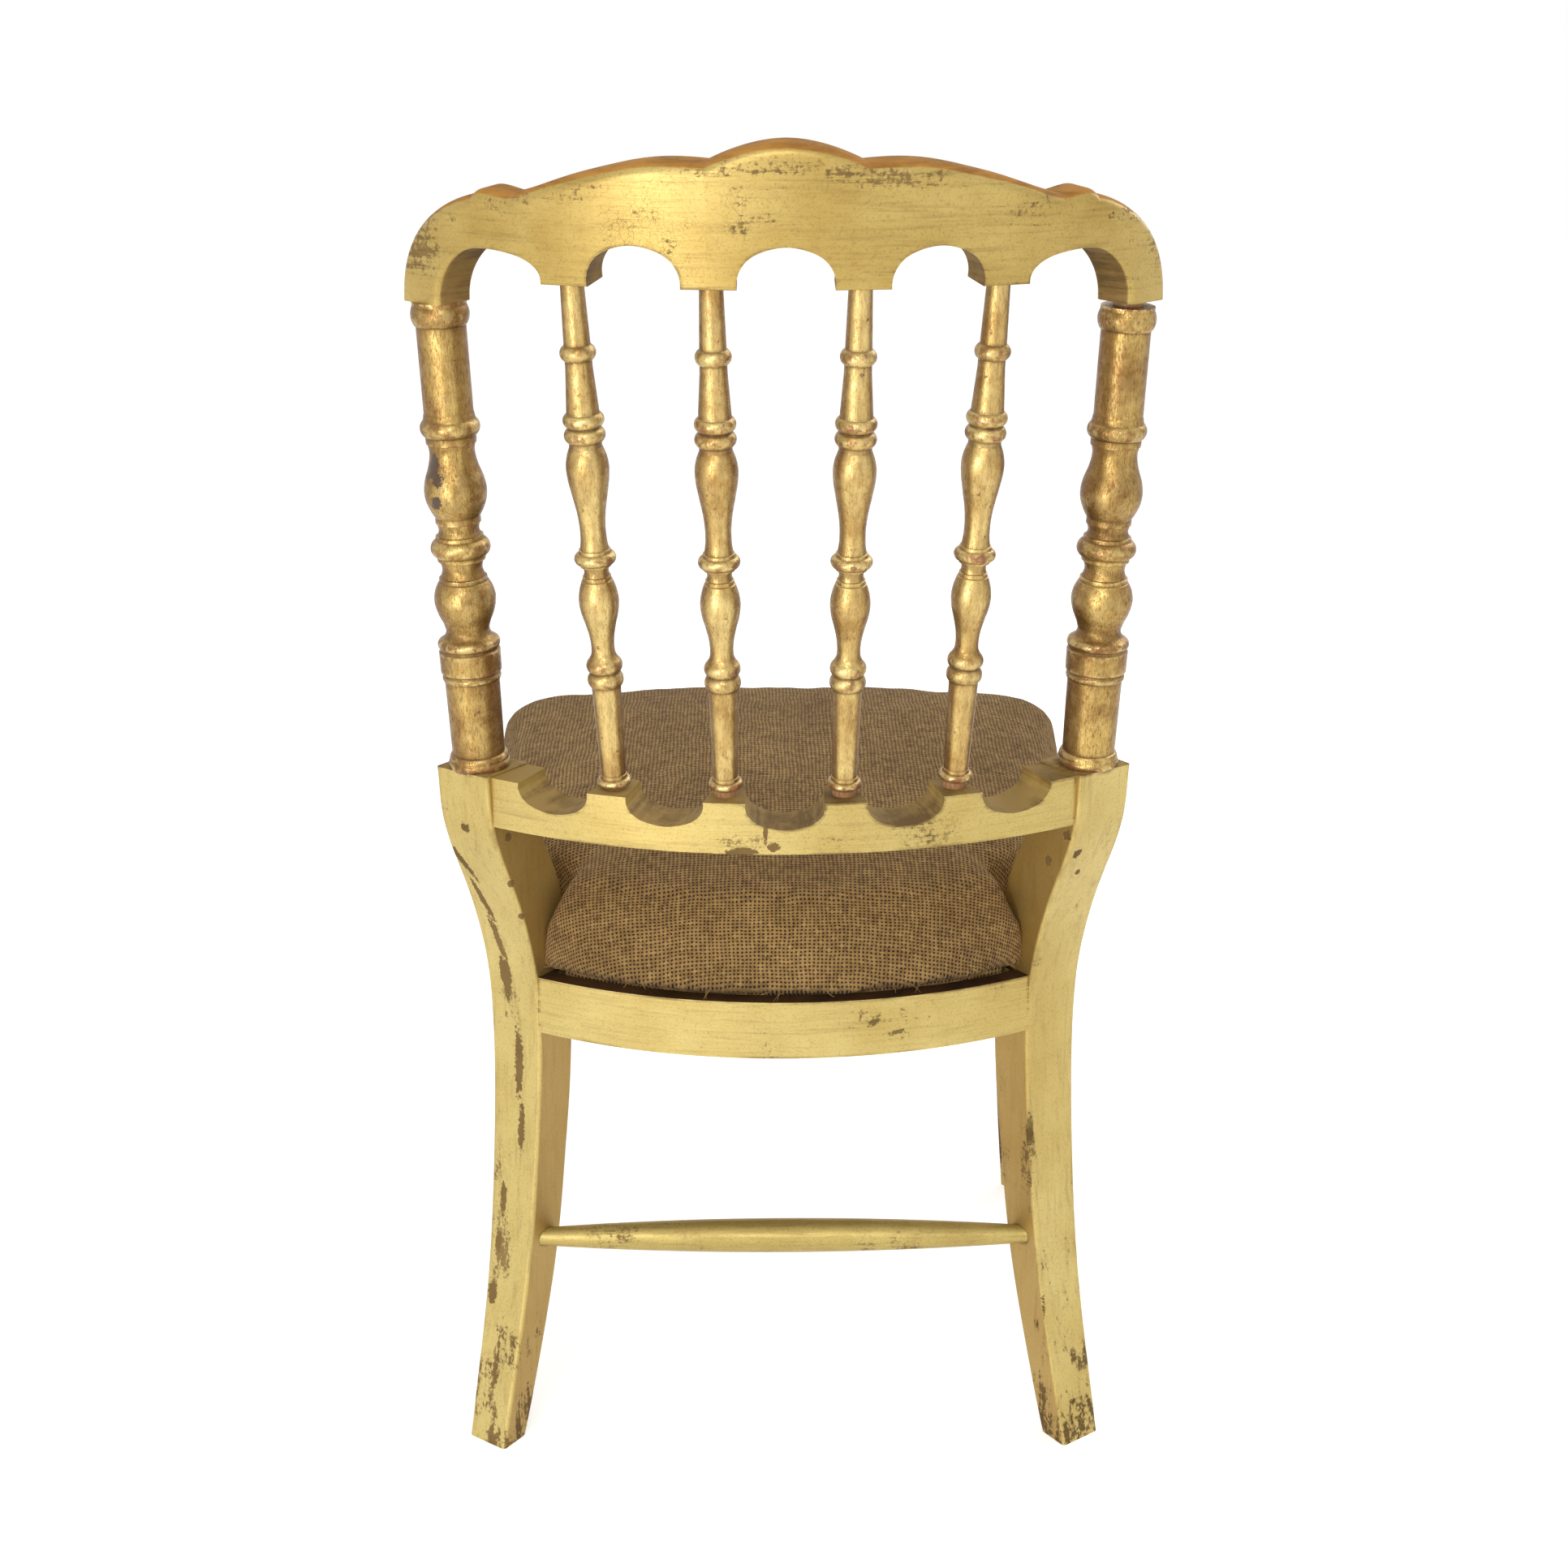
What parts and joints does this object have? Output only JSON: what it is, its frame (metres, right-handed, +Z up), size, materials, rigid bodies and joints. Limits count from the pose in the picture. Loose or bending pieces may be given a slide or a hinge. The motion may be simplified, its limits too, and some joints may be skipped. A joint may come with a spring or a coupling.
{
  "type": "side chair",
  "caption": "Gilded wooden side chair with a bowed scalloped crest rail, turned posts and spindles, swept rear legs, a turned rear bar and a loose stuffed seat in coarse cloth.",
  "frame": {"origin": "on the floor under the middle of the chair's bounding box", "axes": "+Z up, the chair faces -Y, its back stands towards +Y, the sitter's left is +X"},
  "size_m": [0.4486, 0.5134, 0.8795],
  "materials": {
    "gilded_flat_wood": "worn water gilding over a brown ground, satin, finely cracked",
    "gilded_turned_wood": "worn burnished gilding with red ground in the grooves",
    "bare_beech": "bare planed beech",
    "hessian": "coarse plain-woven jute hessian",
    "jute_webbing": "twilled jute webbing",
    "base_cloth": "heavy woven base cloth",
    "steel_screws": "dull steel",
    "steel_tacks": "blued steel"
  },
  "bodies": {
    "chair_frame": {"crest_rail": "gilded_flat_wood", "lower_back_rail": "gilded_flat_wood", "back_post_left": "gilded_turned_wood", "back_post_right": "gilded_turned_wood", "spindle_1": "gilded_turned_wood", "spindle_2": "gilded_turned_wood", "spindle_3": "gilded_turned_wood", "spindle_4": "gilded_turned_wood", "rear_leg_left": "gilded_flat_wood", "rear_leg_right": "gilded_flat_wood", "front_leg_left": "gilded_flat_wood", "front_leg_right": "gilded_flat_wood", "rear_seat_rail": "gilded_flat_wood", "front_seat_rail": "gilded_flat_wood", "side_seat_rail_left": "gilded_flat_wood", "side_seat_rail_right": "gilded_flat_wood", "rear_stretcher": "gilded_turned_wood", "corner_block_front_left": "bare_beech", "corner_block_front_right": "bare_beech", "corner_block_rear_left": "bare_beech", "corner_block_rear_right": "bare_beech", "corner_block_screws": "steel_screws"},
    "drop_in_seat": {"seat_frame_front": "bare_beech", "seat_frame_rear": "bare_beech", "seat_frame_left": "bare_beech", "seat_frame_right": "bare_beech", "webbing_across": "jute_webbing", "webbing_along": "jute_webbing", "base_cloth": "base_cloth", "cover_skirt": "hessian", "cover_tacks": "steel_tacks", "seat_cushion": "hessian"}
  },
  "joints": [
    {"name": "seat_lift", "type": "slide", "parent": "chair_frame", "child": "drop_in_seat", "axis": [0, 0, 1], "range_m": [0, 0.2]}
  ]
}
